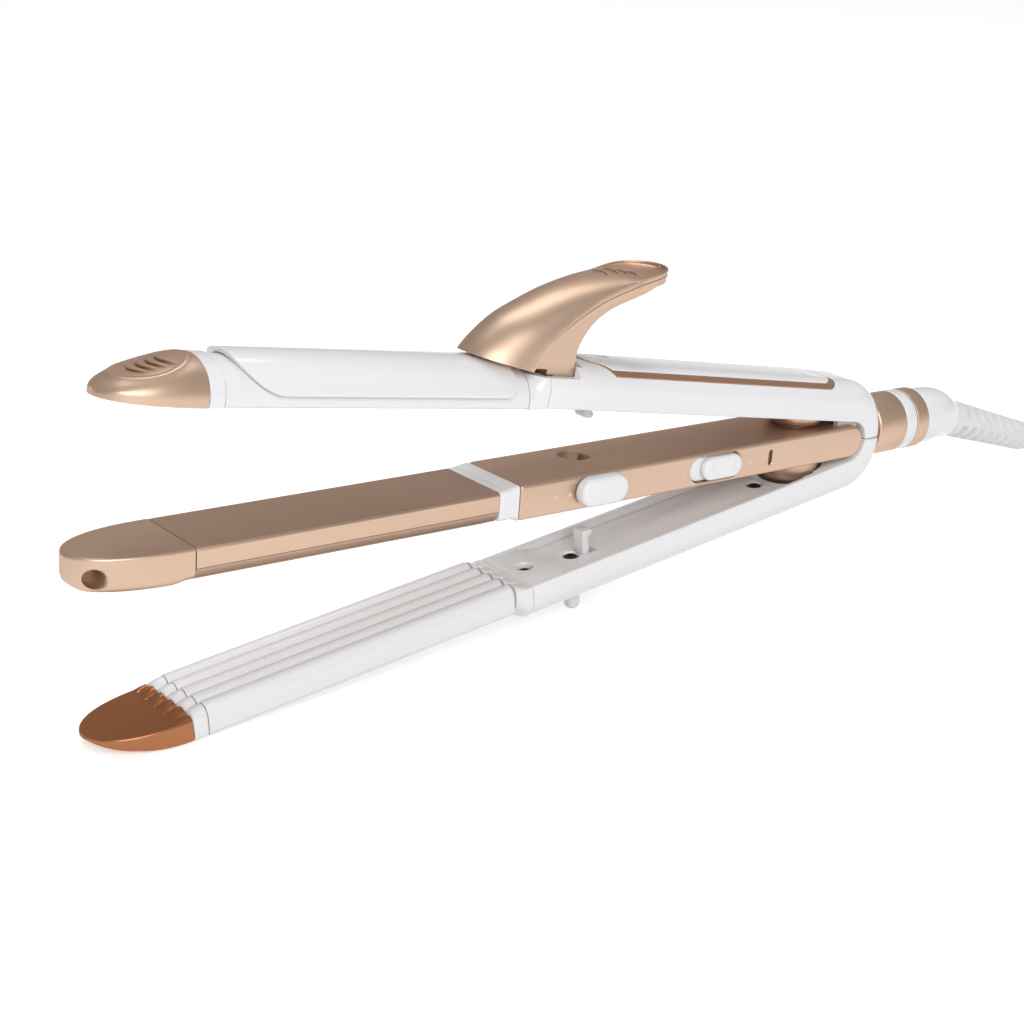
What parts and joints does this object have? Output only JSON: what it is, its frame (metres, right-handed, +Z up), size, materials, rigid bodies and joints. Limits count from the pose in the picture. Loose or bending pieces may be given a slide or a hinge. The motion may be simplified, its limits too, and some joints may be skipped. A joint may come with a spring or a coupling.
{
  "type": "hair crimper",
  "caption": "Three-armed hair styler: sprung curling tong, flat straightening plate and ridged crimping plate on one hinge, with latches, sliders and a swivelling cord outlet.",
  "frame": {"origin": "on the table under the middle of the object", "axes": "+X from the tips to the cord outlet, +Z up, -Y towards the side with the switches"},
  "size_m": [0.3574, 0.0282, 0.0981],
  "materials": {
    "rose_gold": "satin metallic rose gold",
    "rose_plate": "satin rose gold coating",
    "copper": "satin metallic copper",
    "white_gloss": "glossy white",
    "white_ceramic": "white ceramic coating",
    "soft_white": "soft white",
    "steel": "plain",
    "heater": "plain",
    "amber_lens": "clear amber"
  },
  "bodies": {
    "middle_arm": {"middle_housing": "rose_gold", "middle_collar": "white_gloss", "straightening_plate": "rose_plate", "middle_crimp_plate": "rose_plate", "plate_heater": "heater", "middle_tip": "rose_gold", "hinge_pin": "steel", "upper_spring_cup": "copper", "lower_spring_cup": "copper", "upper_opening_spring": "steel", "lower_opening_spring": "steel", "power_slider_bed": "white_gloss", "indicator_lamp": "amber_lens", "rear_sleeve": "rose_gold", "rear_spacer": "white_gloss"},
    "temperature_slider": {"temperature_slider": "white_gloss"},
    "power_slider": {"power_slider": "white_gloss"},
    "cord_outlet": {"swivel_ring": "copper", "swivel_elbow": "white_gloss", "strain_relief": "soft_white"},
    "lower_arm": {"lower_handle": "white_gloss", "lower_inner_cover": "white_gloss", "lower_collar": "white_gloss", "lower_crimp_plate": "white_ceramic", "lower_end_ring": "white_gloss", "lower_tip": "copper", "cover_screw_1": "steel", "cover_screw_2": "steel", "cover_screw_3": "steel"},
    "lower_latch": {"lower_latch": "white_gloss"},
    "upper_arm": {"upper_handle": "white_gloss", "upper_trim": "copper", "upper_panel": "white_gloss", "upper_collar": "white_gloss", "barrel": "white_gloss", "upper_plate": "rose_plate", "upper_end_ring": "white_gloss", "upper_tip": "rose_gold", "lever_pin": "steel"},
    "upper_latch": {"upper_latch": "white_gloss"},
    "clamp": {"clamp_shell": "white_gloss", "thumb_lever": "rose_gold"}
  },
  "joints": [
    {"name": "upper_arm_hinge", "type": "hinge", "parent": "middle_arm", "child": "upper_arm", "pos_m": [0.07826, 0.00165, 0.03417], "axis": [0, -1, 0], "range_deg": [0, 8.4], "stiffness_Nm_per_rad": 1.5, "springref_deg": -34.38},
    {"name": "lower_arm_hinge", "type": "hinge", "parent": "middle_arm", "child": "lower_arm", "pos_m": [0.07826, 0.00165, 0.03417], "axis": [0, 1, 0], "range_deg": [0, 8.4], "stiffness_Nm_per_rad": 1.5, "springref_deg": -34.38},
    {"name": "clamp_hinge", "type": "hinge", "parent": "upper_arm", "child": "clamp", "pos_m": [-0.03422, 0.00165, 0.07038], "axis": [0, 1, 0], "range_deg": [0, 20], "stiffness_Nm_per_rad": 0.6, "springref_deg": -22.92},
    {"name": "upper_latch_slide", "type": "slide", "parent": "upper_arm", "child": "upper_latch", "axis": [0.979, 0, -0.2041], "range_m": [0, 0.002]},
    {"name": "lower_latch_slide", "type": "slide", "parent": "lower_arm", "child": "lower_latch", "axis": [0.9962, 0, 0.0876], "range_m": [0, 0.002]},
    {"name": "temperature_slide", "type": "slide", "parent": "middle_arm", "child": "temperature_slider", "axis": [-0.9983, 0, 0.0589], "range_m": [0, 0.006]},
    {"name": "power_slide", "type": "slide", "parent": "middle_arm", "child": "power_slider", "axis": [-0.9983, 0, 0.0589], "range_m": [0, 0.004]},
    {"name": "cord_swivel", "type": "hinge", "parent": "middle_arm", "child": "cord_outlet", "pos_m": [0.1114, 0.00165, 0.03221], "axis": [0.9983, 0, -0.0589], "continuous": true}
  ]
}
